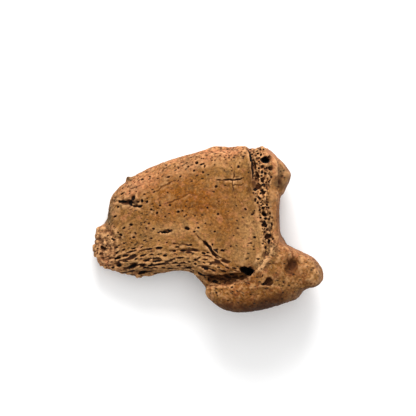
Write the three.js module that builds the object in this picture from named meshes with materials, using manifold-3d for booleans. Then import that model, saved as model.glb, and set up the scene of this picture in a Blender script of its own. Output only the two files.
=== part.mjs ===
// The claw bone of a cave bear: the last toe bone, which carried the horny claw. It is one
// piece of fossil bone, and it lies on its side on a table.
//
// Millimetres, +Z up. +X runs from the worn tip to the joint end, +Y to the claw's back, and
// the origin is under the middle of its bounding box, on the table.
//
// The bone is drawn in its own frame: "along" and "up" lie in its mid plane, and "side" is
// the distance from that plane. The joint end is the widest, so the bone rests on it and on
// its tip, and its mid plane leans by restLean.
import * as THREE from "three";
import Module from "manifold-3d";
import { mergeVertices } from "three/addons/utils/BufferGeometryUtils.js";

const wasm = await Module();
wasm.setup();

const { clamp, degToRad, lerp, smoothstep } = THREE.MathUtils;

// ---------------------------------------------------------------- driving dimensions

const gridStep = 1.2; // spacing of the grid that the bone's skin is found on
const restLean = degToRad(7.6);
const midHeight = 6.08; // height of the mid plane above the table, at along 0

// Half thicknesses are measured from the mid plane; "From" and "To" are stations along.
const bladeTipHalf = 3.2;
const bladeBodyHalf = 5.2;
const bladeRootHalf = 7.0;
const bladeBodyFrom = -24;
const bladeBodyTo = -6;
const bladeRootFrom = 4;
const bladeRootTo = 11.5;
const bladeBackTaper = 1.3; // how much thinner each side is at the back than at mid height
const bladeBackFrom = 5; // heights, up
const bladeBackTo = 16;
const bladeEdgeRound = 3.9;

const crestHalf = 7.9;
const crestTopTaper = 1.2;
const crestTopFrom = 9; // heights, up
const crestTopTo = 17;
const neckHalf = 6.0; // the base narrows from its crest to the joint
const neckFrom = 12;
const neckTo = 16;
const baseRound = 1.9;
const processHalf = 4.6;
const processRound = 2.4;

const plateToeHalf = 6.3;
const plateHalf = 7.8;
const plateHeelHalf = 5.2;
const plateToeFrom = 0;
const plateToeTo = 10;
const plateHeelFrom = 12;
const plateHeelTo = 22;
const plateSoleTaper = 0.22; // how fast each side narrows below plateSoleFrom
const plateSoleFrom = -12;
const plateRound = 2.3;

// Soft rises and hollows on both sides: how high, where, and how far they reach.
const dish = { rise: -0.6, along: -2, up: 3.5, reachAlong: 8, reachUp: 5 };
const shoulder = { rise: 0.35, along: 5, up: 12.5, reachAlong: 4, reachUp: 3.5 };
const underCut = { rise: -2.1, along: 4.5, up: -11.5, reachAlong: 6, reachUp: 2.3 };
const waist = { rise: -0.4, along: 12, up: 0, reachAlong: 4, reachUp: 5 };

// Fillets where two forms meet.
const processFillet = 1.2;
const bladeFillet = 1.0;
const plateFillet = 0.9;
const lumpFillet = 0.5;
const jointFillet = 0.5;

const bladeOutline = [
  [-23.8, -3.2], [-23.2, -0.9], [-21.6, 1.2], [-21.3, 4.1], [-20.5, 6.9], [-17.5, 9.7],
  [-13.8, 12.0], [-9.3, 13.9], [-4.6, 15.3], [-1.1, 16.3], [1.6, 17.2], [4.9, 16.9],
  [7.4, 17.3], [9.6, 16.6], [11.3, 14.4], [12.6, 6.0], [12.6, -4.5], [9.9, -9.8],
  [6.7, -11.7], [2.9, -12.3], [-0.4, -12.3], [-1.9, -10.6], [-3.6, -9.3], [-5.7, -8.9],
  [-9.0, -9.4], [-12.6, -10.1], [-14.7, -10.2], [-17.2, -9.8], [-19.7, -9.2], [-22.0, -7.6],
  [-24.0, -5.6],
];
const baseOutline = [
  [9.9, 16.1], [11.6, 16.9], [13.0, 16.2], [14.2, 14.4], [14.8, 12.2], [14.9, 9.1],
  [14.6, 4.9], [14.5, 1.4], [14.9, -1.6], [16.2, -4.5], [16.4, -8.3], [12.8, -10.8],
  [10.3, -8.3], [10.7, -3.5], [10.3, 2.8], [9.9, 10.2],
];
const processOutline = [
  [11.3, 15.9], [13.0, 15.0], [15.4, 13.9], [16.8, 12.5], [17.3, 10.8], [16.6, 8.9],
  [15.4, 7.4], [12.6, 7.4],
];
const plateOutline = [
  [-0.2, -12.5], [0.4, -14.5], [2.2, -16.0], [4.6, -17.3], [7.2, -17.6], [9.8, -17.4],
  [12.7, -16.8], [15.9, -15.8], [18.8, -14.6], [20.0, -13.0], [23.3, -11.9], [24.1, -10.2],
  [23.4, -7.9], [21.4, -5.9], [18.7, -4.8], [16.6, -3.8], [14.3, -3.7], [12.2, -6.2],
  [10.7, -8.7], [8.0, -10.8], [4.2, -11.9],
];

// The joint's hollow fits two round cheeks with a low ridge between them.
const jointCentre = { along: 23.4, up: 3.0 };
const jointRadius = 8.9;
const jointRidge = 1.1;
const jointCheekSpacing = 7.6;

// The spongy knob at the worn tip: [along, up, side, radius].
const tipLumps = [
  [-21.9, -1.6, 1.2, 2.0], [-22.4, -4.2, 1.0, 2.0], [-21.4, -6.2, 0.6, 2.1],
  [-22.3, -3.4, -1.4, 2.0], [-20.3, 0.2, -1.0, 2.2], [-20.4, -3.2, 1.9, 2.1],
];
// A crumb stuck to the back edge, and the end of a splinter on the under edge.
const crumbs = [
  [-16.7, 10.5, 0.6, 0.75],
  [-15.0, -9.7, 1.2, 0.9],
];

// Hollows sunk straight down into the upper side: place and size in the row frame.
// turn is the direction of the long way, in degrees from +X.
const upperPits = [
  { x: 8.8, y: -9.2, long: 3.7, wide: 1.8, deep: 3.6, turn: -24 }, // blood vessel's hole
  { x: 12.1, y: 14.4, long: 1.7, wide: 1.4, deep: 2.2, turn: -10 }, // hole in the hood
  { x: 13.1, y: 14.6, long: 1.6, wide: 1.9, deep: 0.7, turn: 70 },
  { x: 12.7, y: -11.1, long: 2.2, wide: 2.0, deep: 1.7, turn: 50 }, // hole in the plate
  { x: 17.4, y: -7.5, long: 3.0, wide: 2.0, deep: 1.3, turn: -66 }, // hollow by the joint
  { x: 9.0, y: 15.3, long: 2.9, wide: 0.8, deep: 1.5, turn: -72 }, // cleft along the hood
  { x: 9.5, y: 13.1, long: 3.1, wide: 0.9, deep: 1.9, turn: -78 },
  { x: 9.9, y: 10.7, long: 3.1, wide: 0.95, deep: 1.9, turn: -80 },
  { x: 10.3, y: 8.8, long: 1.9, wide: 1.4, deep: 1.2, turn: -50 },
  { x: 13.4, y: 12.6, long: 1.3, wide: 0.7, deep: 0.9, turn: -15 },
  { x: 11.4, y: 12.9, long: 1.3, wide: 0.7, deep: 0.9, turn: 60 },
  { x: 11.6, y: 10.4, long: 1.0, wide: 0.8, deep: 0.9, turn: 90 },
  { x: 11.7, y: 7.4, long: 1.2, wide: 0.7, deep: 0.9, turn: 90 },
  { x: 11.9, y: 3.0, long: 1.7, wide: 0.9, deep: 1.2, turn: -55 },
  { x: 11.9, y: 0.8, long: 1.1, wide: 1.0, deep: 1.1, turn: 0 },
  { x: 12.6, y: -1.7, long: 1.3, wide: 1.1, deep: 1.2, turn: 45 },
  { x: 9.3, y: 3.3, long: 1.1, wide: 0.8, deep: 0.6, turn: 0 },
  { x: -8.9, y: -0.5, long: 2.8, wide: 0.6, deep: 1.0, turn: -8 }, // slits on the blade
  { x: -4.3, y: 0.0, long: 1.4, wide: 0.65, deep: 0.9, turn: -32 },
  { x: -0.4, y: -3.3, long: 2.2, wide: 0.7, deep: 0.9, turn: -48 }, // furrow to the root
  { x: 1.3, y: -5.4, long: 2.4, wide: 0.75, deep: 1.0, turn: -50 },
  { x: 3.6, y: -7.0, long: 2.8, wide: 0.75, deep: 0.9, turn: -20 },
  { x: -17.2, y: 5.6, long: 3.9, wide: 0.95, deep: 1.0, turn: 3 }, // rotted hollow
  { x: -15.1, y: 5.1, long: 2.2, wide: 0.6, deep: 0.8, turn: 4 },
  { x: -16.0, y: 6.7, long: 1.3, wide: 0.9, deep: 0.8, turn: 40 },
  { x: -15.7, y: -7.8, long: 2.2, wide: 0.95, deep: 1.2, turn: 24 }, // under edge's gaps
  { x: -18.9, y: -7.6, long: 1.1, wide: 0.6, deep: 0.8, turn: -8 },
  { x: -17.4, y: -5.7, long: 1.3, wide: 0.6, deep: 0.8, turn: 0 },
  { x: -18.8, y: -6.2, long: 1.3, wide: 0.5, deep: 0.7, turn: 22 },
  { x: -13.6, y: -5.7, long: 1.3, wide: 0.5, deep: 0.7, turn: 16 },
  { x: -12.7, y: -6.8, long: 1.9, wide: 0.6, deep: 0.8, turn: 14 },
  { x: -13.7, y: -7.9, long: 1.6, wide: 0.7, deep: 0.9, turn: 10 },
  { x: -10.4, y: -6.4, long: 1.8, wide: 0.55, deep: 0.8, turn: 4 },
  { x: -9.5, y: -7.5, long: 2.7, wide: 0.5, deep: 0.8, turn: 3 },
  { x: -2.8, y: -4.6, long: 1.8, wide: 0.5, deep: 0.7, turn: 2 },
  { x: -5.1, y: -4.8, long: 1.3, wide: 0.5, deep: 0.7, turn: 0 },
  { x: -2.6, y: -6.6, long: 1.1, wide: 0.5, deep: 0.7, turn: 0 },
  { x: -21.8, y: -4.3, long: 1.4, wide: 1.0, deep: 0.9, turn: 60 }, // pits in the knob
  { x: -20.4, y: -1.4, long: 1.1, wide: 0.9, deep: 0.7, turn: -50 },
  { x: -18.7, y: -2.0, long: 1.1, wide: 0.8, deep: 0.8, turn: 10 },
];
// The side that lies on the table has the same holes, a little moved.
const lowerPits = [
  { x: 9.7, y: -8.7, long: 3.2, wide: 1.8, deep: 2.4, turn: -20 },
  { x: 14.3, y: -11.0, long: 1.9, wide: 1.7, deep: 1.4, turn: 20 },
  { x: 18.9, y: -7.8, long: 2.8, wide: 1.9, deep: 1.1, turn: -60 },
  { x: 10.6, y: 14.0, long: 3.2, wide: 0.8, deep: 1.4, turn: -76 },
  { x: 11.1, y: 11.2, long: 3.0, wide: 0.9, deep: 1.5, turn: -82 },
  { x: 13.6, y: 1.6, long: 1.6, wide: 1.0, deep: 1.0, turn: -60 },
  { x: 13.0, y: 5.2, long: 1.3, wide: 0.9, deep: 0.9, turn: 80 },
  { x: -7.4, y: 0.8, long: 2.4, wide: 0.6, deep: 0.9, turn: -5 },
  { x: 1.8, y: -4.6, long: 2.6, wide: 0.7, deep: 0.9, turn: -46 },
  { x: -12.2, y: -6.6, long: 2.2, wide: 0.6, deep: 0.8, turn: 12 },
  { x: -7.6, y: -6.9, long: 2.4, wide: 0.55, deep: 0.8, turn: 2 },
];
const pitSides = 7;
const pitRings = 4;

// ---------------------------------------------------------------- the bone as a field
// Each form below is a distance: negative inside the bone, positive outside.

// A closed smooth line through the outline's points, as a ring of points.
function ringThrough(outline) {
  const points = outline.map(([along, up]) => new THREE.Vector3(along, up, 0));
  const curve = new THREE.CatmullRomCurve3(points, true, "centripetal");
  return curve.getPoints(points.length * 4).slice(0, -1);
}

function distanceToRing(ring, along, up) {
  let nearest = Infinity;
  let inside = false;
  for (let i = 0, j = ring.length - 1; i < ring.length; j = i++) {
    const from = ring[j];
    const edgeAlong = ring[i].x - from.x;
    const edgeUp = ring[i].y - from.y;
    const offAlong = along - from.x;
    const offUp = up - from.y;
    const edgeSquared = edgeAlong ** 2 + edgeUp ** 2;
    const share = clamp((offAlong * edgeAlong + offUp * edgeUp) / edgeSquared, 0, 1);
    const gap = Math.hypot(offAlong - share * edgeAlong, offUp - share * edgeUp);
    nearest = Math.min(nearest, gap);
    const crosses = from.y > up !== ring[i].y > up;
    if (crosses && offAlong < (offUp / edgeUp) * edgeAlong) inside = !inside;
  }
  return inside ? -nearest : nearest;
}

// Two forms joined, or one form limited by another, with a fillet of that width between.
function joined(a, b, fillet) {
  const near = Math.max(fillet - Math.abs(a - b), 0) / fillet;
  return Math.min(a, b) - (near * near * fillet) / 4;
}
const limited = (a, b, fillet) => -joined(-a, -b, fillet);

// A plate with that outline and half thickness, and its edges rounded.
function roundedPlate(ring, along, up, side, half, round) {
  const outward = distanceToRing(ring, along, up) + round;
  const sideward = Math.abs(side) - half + round;
  const corner = Math.hypot(Math.max(outward, 0), Math.max(sideward, 0));
  return Math.min(Math.max(outward, sideward), 0) + corner - round;
}

// How much a soft rise adds at that place: all at its centre, none past twice its reach.
function riseAt(bump, along, up) {
  const offAlong = (along - bump.along) / bump.reachAlong;
  const offUp = (up - bump.up) / bump.reachUp;
  return bump.rise * Math.exp(-(offAlong ** 2) - offUp ** 2);
}

const bladeRing = ringThrough(bladeOutline);
const baseRing = ringThrough(baseOutline);
const processRing = ringThrough(processOutline);
const plateRing = ringThrough(plateOutline);

// The blade thickens from the tip to the root, and is dished in the middle of each side.
function blade(along, up, side) {
  let half = lerp(bladeTipHalf, bladeBodyHalf, smoothstep(along, bladeBodyFrom, bladeBodyTo));
  half += (bladeRootHalf - bladeBodyHalf) * smoothstep(along, bladeRootFrom, bladeRootTo);
  half -= bladeBackTaper * smoothstep(up, bladeBackFrom, bladeBackTo);
  for (const bump of [dish, shoulder, underCut]) {
    half += riseAt(bump, along, up);
  }
  return roundedPlate(bladeRing, along, up, side, half, Math.min(half, bladeEdgeRound));
}

function base(along, up, side) {
  const crest = crestHalf - crestTopTaper * smoothstep(up, crestTopFrom, crestTopTo);
  const half = lerp(crest, neckHalf, smoothstep(along, neckFrom, neckTo));
  return roundedPlate(baseRing, along, up, side, half + riseAt(waist, along, up), baseRound);
}

// The knuckle at the back of the joint, where the straightening tendon pulled.
function process(along, up, side) {
  return roundedPlate(processRing, along, up, side, processHalf, processRound);
}

// The sole plate, where the bending tendon pulled, narrows to its heel and its sole.
function plate(along, up, side) {
  const body = lerp(plateToeHalf, plateHalf, smoothstep(along, plateToeFrom, plateToeTo));
  const heel = lerp(body, plateHeelHalf, smoothstep(along, plateHeelFrom, plateHeelTo));
  const half = heel - plateSoleTaper * Math.max(plateSoleFrom - up, 0);
  return roundedPlate(plateRing, along, up, side, half, plateRound);
}

function lump(along, up, side, [lumpAlong, lumpUp, lumpSide, radius]) {
  return Math.hypot(along - lumpAlong, up - lumpUp, side - lumpSide) - radius;
}

function jointHollow(along, up, side) {
  const ridge = (1 + Math.cos((2 * Math.PI * side) / jointCheekSpacing)) / 2;
  const radius = jointRadius - jointRidge * ridge;
  return Math.hypot(along - jointCentre.along, up - jointCentre.up) - radius;
}

function bone(along, up, side) {
  let form = joined(base(along, up, side), process(along, up, side), processFillet);
  form = joined(form, blade(along, up, side), bladeFillet);
  form = joined(form, plate(along, up, side), plateFillet);
  for (const ball of [...tipLumps, ...crumbs]) {
    form = joined(form, lump(along, up, side, ball), lumpFillet);
  }
  return limited(form, -jointHollow(along, up, side), jointFillet);
}

// The same at a point of the row frame, where the mid plane leans.
function boneInPlace(x, y, z) {
  const height = z - midHeight;
  const along = x * Math.cos(restLean) + height * Math.sin(restLean);
  const side = height * Math.cos(restLean) - x * Math.sin(restLean);
  return bone(along, y, side);
}

// ---------------------------------------------------------------- from field to mesh

// The surface where the field is zero, as one closed mesh: a vertex in each grid cell that
// the surface crosses, and a quad round each grid edge that it crosses.
function skinOf(field, box, step) {
  const span = box.getSize(new THREE.Vector3());
  const counts = span.toArray().map((length) => Math.ceil(length / step) + 1);
  const strides = [1, counts[0], counts[0] * counts[1]];
  const origin = box.min.toArray();
  const values = new Float64Array(counts[0] * counts[1] * counts[2]);
  const cells = [];
  for (let k = 0; k < counts[2]; k++)
    for (let j = 0; j < counts[1]; j++)
      for (let i = 0; i < counts[0]; i++) {
        const cell = [i, j, k];
        const place = cell.map((index, axis) => origin[axis] + index * step);
        values[i + j * strides[1] + k * strides[2]] = field(...place);
        cells.push(cell);
      }

  const positions = [];
  const vertexOf = new Map();
  cells.forEach((cell, id) => {
    if (cell.some((index, axis) => index >= counts[axis] - 1)) return;
    const middle = [0, 0, 0];
    let crossings = 0;
    for (let corner = 0; corner < 8; corner++)
      for (let axis = 0; axis < 3; axis++) {
        if (corner & (1 << axis)) continue; // each edge starts at its lower corner
        const low = [0, 1, 2].map((a) => (corner >> a) & 1);
        const start = id + low[0] * strides[0] + low[1] * strides[1] + low[2] * strides[2];
        const end = start + strides[axis];
        if (values[start] < 0 === values[end] < 0) continue;
        low[axis] += values[start] / (values[start] - values[end]);
        low.forEach((part, a) => (middle[a] += part));
        crossings++;
      }
    if (!crossings) return;
    vertexOf.set(id, positions.length / 3);
    middle.forEach((sum, a) => positions.push(origin[a] + (cell[a] + sum / crossings) * step));
  });

  const faces = [];
  const vertex = (index) => new THREE.Vector3().fromArray(positions, index * 3);
  cells.forEach((cell, id) => {
    for (let axis = 0; axis < 3; axis++) {
      const next = id + strides[axis];
      if (cell[axis] >= counts[axis] - 1 || values[id] < 0 === values[next] < 0) continue;
      const across = strides[(axis + 1) % 3];
      const over = strides[(axis + 2) % 3];
      const ids = [id, id - across, id - across - over, id - over];
      const quad = ids.map((cellId) => vertexOf.get(cellId));
      if (values[id] >= 0) quad.reverse();
      const [a, b, c, d] = quad;
      const shortWay = vertex(a).distanceTo(vertex(c)) < vertex(b).distanceTo(vertex(d));
      faces.push(...(shortWay ? [a, b, c, a, c, d] : [a, b, d, b, c, d]));
    }
  });
  const skin = new THREE.BufferGeometry();
  skin.setAttribute("position", new THREE.Float32BufferAttribute(positions, 3));
  skin.setIndex(faces);
  return skin;
}

// Moves each vertex onto the surface itself, along the field's slope.
function settle(skin, field) {
  const reach = 0.05;
  const position = skin.getAttribute("position");
  for (let i = 0; i < position.count; i++) {
    const [x, y, z] = [position.getX(i), position.getY(i), position.getZ(i)];
    const value = field(x, y, z);
    const slope = new THREE.Vector3(
      field(x + reach, y, z) - value,
      field(x, y + reach, z) - value,
      field(x, y, z + reach) - value,
    ).divideScalar(reach);
    const shift = clamp(-value / Math.max(slope.lengthSq(), 0.25), -0.4, 0.4);
    position.setXYZ(i, x + slope.x * shift, y + slope.y * shift, z + slope.z * shift);
  }
}

// ---------------------------------------------------------------- cutting

function solidFrom(geometry) {
  const bare = geometry.clone();
  bare.deleteAttribute("normal");
  bare.deleteAttribute("uv");
  const merged = mergeVertices(bare, 1e-4);
  const mesh = new wasm.Mesh({
    numProp: 3,
    vertProperties: merged.getAttribute("position").array,
    triVerts: new Uint32Array(merged.index.array),
  });
  return new wasm.Manifold(mesh);
}

function geometryFrom(solid) {
  const mesh = solid.getMesh();
  const geometry = new THREE.BufferGeometry();
  geometry.setAttribute("position", new THREE.BufferAttribute(mesh.vertProperties, 3));
  geometry.setIndex(new THREE.BufferAttribute(mesh.triVerts, 1));
  return geometry;
}

// An egg-shaped cutter, set where a line straight down (or up) at x, y meets the skin.
function pitCutter(skinMesh, pit, downward) {
  const ray = new THREE.Raycaster(
    new THREE.Vector3(pit.x, pit.y, downward * 40),
    new THREE.Vector3(0, 0, -downward),
  );
  const hit = ray.intersectObject(skinMesh)[0];
  const turn = degToRad(pit.turn);
  const longWay = new THREE.Vector3(Math.cos(turn), Math.sin(turn), 0);
  const outward = hit.face.normal.clone();
  const wideWay = outward.clone().cross(longWay).normalize();
  longWay.crossVectors(wideWay, outward);
  const cutter = new THREE.SphereGeometry(1, pitSides, pitRings);
  cutter.rotateX(Math.PI / 2); // poles along the cutter's depth
  cutter.scale(pit.long / 2, pit.wide / 2, pit.deep);
  cutter.applyMatrix4(new THREE.Matrix4().makeBasis(longWay, wideWay, outward));
  cutter.translate(hit.point.x, hit.point.y, hit.point.z);
  return solidFrom(cutter);
}

function tableCutter() {
  const depth = 20;
  const table = new THREE.BoxGeometry(120, 120, depth);
  table.translate(0, 0, -depth / 2);
  return solidFrom(table);
}

// ---------------------------------------------------------------- the claw

const around = new THREE.Box3(
  new THREE.Vector3(-26.5, -20, -1.5),
  new THREE.Vector3(27.5, 20, 17.5),
);
const skin = skinOf(boneInPlace, around, gridStep);
settle(skin, boneInPlace);
settle(skin, boneInPlace);

const skinMesh = new THREE.Mesh(skin, new THREE.MeshBasicMaterial({ side: THREE.DoubleSide }));
const cutters = [
  ...upperPits.map((pit) => pitCutter(skinMesh, pit, 1)),
  ...lowerPits.map((pit) => pitCutter(skinMesh, pit, -1)),
  tableCutter(), // worn flat where it rests
];
const claw = geometryFrom(cutters.reduce((solid, cutter) => solid.subtract(cutter), solidFrom(skin)));

// The origin goes under the middle of the box.
claw.computeBoundingBox();
const middle = claw.boundingBox.getCenter(new THREE.Vector3());
claw.translate(-middle.x, -middle.y, 0);
claw.computeVertexNormals();

const fossilBone = new THREE.MeshStandardMaterial({
  name: "fossil bone",
  color: 0xb07f50,
  roughness: 0.78,
  metalness: 0,
});
const clawBone = new THREE.Mesh(claw, fossilBone);
clawBone.name = "claw_bone";

const group = new THREE.Group();
group.add(clawBone);
export default group;
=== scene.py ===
import itertools
import math

import bmesh
import bpy
import numpy as np
from mathutils import Matrix, Vector
from mathutils.bvhtree import BVHTree
from mathutils.kdtree import KDTree


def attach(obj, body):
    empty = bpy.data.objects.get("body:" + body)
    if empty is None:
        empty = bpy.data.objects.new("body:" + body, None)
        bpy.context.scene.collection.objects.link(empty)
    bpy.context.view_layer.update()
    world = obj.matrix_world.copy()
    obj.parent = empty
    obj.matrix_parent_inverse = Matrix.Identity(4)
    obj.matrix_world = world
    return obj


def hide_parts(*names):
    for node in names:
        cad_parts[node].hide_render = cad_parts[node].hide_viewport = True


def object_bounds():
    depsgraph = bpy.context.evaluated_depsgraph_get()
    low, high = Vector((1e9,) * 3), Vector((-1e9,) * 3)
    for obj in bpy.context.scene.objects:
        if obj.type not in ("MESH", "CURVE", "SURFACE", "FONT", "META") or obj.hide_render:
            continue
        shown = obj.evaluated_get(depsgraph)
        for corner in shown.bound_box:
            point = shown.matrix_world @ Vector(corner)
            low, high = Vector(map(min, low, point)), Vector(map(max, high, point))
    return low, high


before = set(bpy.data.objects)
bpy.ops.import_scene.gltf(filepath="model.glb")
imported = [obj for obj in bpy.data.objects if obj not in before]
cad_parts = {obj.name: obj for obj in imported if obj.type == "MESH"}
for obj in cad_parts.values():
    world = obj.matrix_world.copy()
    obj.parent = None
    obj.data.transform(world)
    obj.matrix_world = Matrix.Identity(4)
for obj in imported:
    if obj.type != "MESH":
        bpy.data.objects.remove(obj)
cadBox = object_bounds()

# A cave bear's claw bone, lying on its side on a white table.
# The bone is shaped in millimetres and brought to metres at the end.
# Plan means seen from straight above: x towards the joint, y towards the claw's back.
mm = 0.001
up = Vector((0, 0, 1))


# ---- small helpers ----

def linear(hexColour):
    # sRGB hex to the linear values that Blender's sockets take
    parts = [int(hexColour[i:i + 2], 16) / 255 for i in (1, 3, 5)]
    return [c / 12.92 if c <= 0.04045 else ((c + 0.055) / 1.055) ** 2.4 for c in parts] + [1.0]


def ease(low, high, values):
    t = np.clip((values - low) / (high - low), 0, 1)
    return t * t * (3 - 2 * t)


def softNoise(points, grain, seed):
    # smooth lumps about grain across, from -1 to 1
    size = 32
    lattice = np.random.default_rng(seed).uniform(-1, 1, (size, size, size))
    scaled = points / grain
    cell = np.floor(scaled).astype(int)
    share = scaled - cell
    share = share * share * (3 - 2 * share)
    total = np.zeros(len(points))
    for corner in itertools.product((0, 1), repeat=3):
        i, j, k = ((cell + corner) % size).T
        weight = np.where(corner, share, 1 - share).prod(axis=1)
        total += weight * lattice[i, j, k]
    return total


def addObject(name, mesh):
    piece = bpy.data.objects.new(name, mesh)
    bpy.context.scene.collection.objects.link(piece)
    return piece


def applyModifier(piece, kind, **settings):
    step = piece.modifiers.new(kind.lower(), kind)
    for name, value in settings.items():
        setattr(step, name, value)
    graph = bpy.context.evaluated_depsgraph_get()
    finished = bpy.data.meshes.new_from_object(piece.evaluated_get(graph), depsgraph=graph)
    piece.modifiers.clear()
    rough = piece.data
    piece.data = finished
    bpy.data.meshes.remove(rough)


def remesh(piece, voxel):
    applyModifier(piece, "REMESH", mode="VOXEL", voxel_size=voxel, adaptivity=0)


def soften(piece, passes, factor):
    applyModifier(piece, "SMOOTH", iterations=passes, factor=factor)


def readVectors(items, key):
    flat = np.empty(len(items) * 3, dtype=np.float32)
    items.foreach_get(key, flat)
    return flat.reshape(-1, 3).astype(float)


def readPoints(mesh):
    return readVectors(mesh.vertices, "co")


def readNormals(mesh):
    return readVectors(mesh.vertex_normals, "vector")


def writePoints(mesh, points):
    mesh.vertices.foreach_set("co", points.astype(np.float32).ravel())
    mesh.update()


# ---- where things are on the bone ----

bone = {
    "lean": math.radians(7.6),  # the mid plane leans as the bone lies
    "midHeight": 6.08,  # height of the mid plane, at the middle of the bone
}
# lines across the bone, as heights y at places x
backEdge = ([-21, -18, -14, -9.4, -4.6, 0, 4, 9, 14], [5, 9.2, 12, 14.1, 15.5, 17, 17.1, 17.2, 15])
soleTop = ([-22, -19, -10, -3, 1, 4, 8, 11], [-1.5, -2.2, -3.7, -3.6, -4.4, -6.6, -8.4, -9.5])
plateLip = ([-1, 2.5, 5, 7.6, 9.3, 11.1, 12.5, 13.5, 25],
            [-11.6, -11.6, -10.8, -10.7, -10, -8.2, -6.4, -3.5, -3.5])
grainLine = ([-24, -19, -15, -12, -8, -4, 0, 4, 8], [-2.9, -1.3, -0.2, 0.35, 0.7, 0.8, 0.5, -0.7, -2.3])
# sides of the spongy crest, as places x at heights y
crestLeft = ([-4, 0, 5, 8, 10, 17], [11.6, 11.2, 10.4, 9.6, 9.5, 8.6])
crestRight = ([-4, -1, 5, 9, 12, 15, 17], [13.9, 13.7, 12.7, 12.9, 13.4, 12.9, 11.6])


def planSpots(points):
    # plan x and y of each point, with the lower side folded up onto the upper, and its side
    lean, height = bone["lean"], points[:, 2] - bone["midHeight"]
    along = points[:, 0] * math.cos(lean) + height * math.sin(lean)
    side = height * math.cos(lean) - points[:, 0] * math.sin(lean)
    return along * math.cos(lean) - np.abs(side) * math.sin(lean), points[:, 1], side


def lineGap(x, y, route):
    # distance in plan to a route, and how far along it the nearest place is, from 0 to 1
    nearest = np.full(len(x), 1e9)
    share = np.zeros(len(x))
    legs = len(route) - 1
    for leg, ((x0, y0), (x1, y1)) in enumerate(zip(route, route[1:])):
        dx, dy = x1 - x0, y1 - y0
        t = np.clip(((x - x0) * dx + (y - y0) * dy) / (dx * dx + dy * dy), 0, 1)
        gap = np.hypot(x - x0 - t * dx, y - y0 - t * dy)
        closer = gap < nearest
        nearest[closer] = gap[closer]
        share[closer] = (leg + t[closer]) / legs
    return nearest, share


# the crest runs on down to the plate as a band of crumbled bone
crestBand = [(13, -4.4, 1.3, 2.6, -28, 1), (11.3, -7.6, 0.9, 1.7, -40, 0.9)]


def zoneWeights(x, y, side):
    band = patchWeight(x, y, crestBand)
    # the sole plate and its heel
    below = (1 - ease(-0.6, 0.6, y - np.interp(x, *plateLip))) * (1 - 0.9 * band)
    crest = ease(-0.3, 0.3, x - np.interp(y, *crestLeft))
    crest *= 1 - ease(-0.3, 0.3, x - np.interp(y, *crestRight))
    crest *= ease(-4.6, -3.2, y)
    crest = np.maximum(crest, band)
    knob = (1 - ease(-19.9, -18.2, x)) * (1 - ease(-0.4, 1.4, y))
    sole = (1 - ease(-0.8, 0.8, y - np.interp(x, *soleTop))) * (1 - below) * (1 - crest) * (1 - 0.6 * knob)
    sole *= (1 - ease(11, 12, x)) * (1 - 0.3 * ease(-4, 0, x))
    back = ease(-3.4, -1.6, y - np.interp(x, *backEdge)) * (1 - crest) * (1 - ease(9, 10, x))
    joint = ease(13.2, 14.2, x) * (1 - below)
    return {"plate": below, "crest": crest, "knob": knob, "sole": sole, "back": back, "joint": joint}


# ---- the bone's skin, before its pores ----

skin = {
    "mergeGap": 0.0005, "coarseVoxel": 0.2, "fineVoxel": 0.12,  # mm
    "coarseSmooth": (6, 0.5), "fineSmooth": (1, 0.4),  # passes and strength after each remesh
    "triangles": 190000,
}

# soft ridges and furrows: route in plan, rise in mm, reach in mm
ridges = {
    "plate lip": ([(0.2, -11.8), (2.6, -11.9), (4.9, -11), (7, -10.8), (8.6, -10.3), (9.8, -9.4),
                   (11.5, -7.4), (12.9, -5.6), (13.5, -3.5)], 0.32, 0.5),
    "under the lip": ([(0.6, -10.6), (2.6, -10.4), (4.9, -10), (7, -9.9), (8, -9.5)], -1, 0.55),
    "beside the lip": ([(9.2, -8.5), (10.6, -6.9), (11.9, -5.2)], -0.3, 0.5),
    "blade's lower rim": ([(-0.9, -8.9), (0.6, -9.1), (2.2, -9.4), (4.4, -9.2), (6.2, -8.7)], 0.22, 0.32),
    "joint rim": ([(15.5, -1.8), (16.1, -3.2), (16.9, -4.6), (17.3, -5.8), (16.6, -7.2)], 0.25, 0.45),
    "crest edge": ([(11.4, 17.2), (12.6, 16.7), (13.7, 15), (14.2, 13.5), (14.1, 11.4)], 0.5, 0.55),
    "beyond the crest": ([(14.6, 15.4), (15.5, 13.4), (15.7, 11)], -0.35, 0.7),
    "blade's shoulder": ([(8, 17.2), (7.9, 16), (8.6, 14.6), (8.7, 12.6), (8.4, 10.6), (8.3, 9.2)], 0.2, 0.8),
    "far back rim": ([(-5.8, 15), (-1.7, 16.1), (3, 16.7), (5.2, 16.9)], -0.3, 0.32),
    "lobe hollow": ([(17.2, -8.4), (18.2, -6.6)], -1, 1.05),
    "lower plate ridge": ([(12.4, -15.2), (15.6, -15.1), (17.4, -13.4)], 0.2, 0.5),
    "splinter's slit": ([(-15, -9), (-13.4, -9), (-11.8, -8.8)], -0.4, 0.3),
}

# corners of the outline that stand out or are broken away: x, y, reach, and the push in x and y
pushes = {
    "hood's slope": (15.2, 14.5, 1.6, 0.26, 0.22),
    "hood's corner": (16.9, 11.6, 0.7, 0.3, 0),
    "below the hood": (15.4, 7.9, 0.9, 0.3, -0.1),
    "hood's top": (11.4, 17, 0.9, 0, 0.35),
    "below the neck": (15.9, -2.5, 1.1, 0.35, 0.2),
    "notch": (8.6, 16.9, 0.55, 0, -0.6),
    "splinter": (-14.6, -9.6, 0.5, -0.2, -0.5),
    "chip": (-16.7, 10.4, 0.4, -0.2, 0.4),
}
# the neck's side wall stands nearly upright: places x before and after, over a span of y
neckWall = ([12.4, 13, 13.5, 14, 14.5, 15.1, 16.5], [12.4, 13.45, 14.3, 14.85, 15.05, 15.25, 16.5])
neckSpan = (-4.4, -0.8, 6.4, 9.8)

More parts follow.
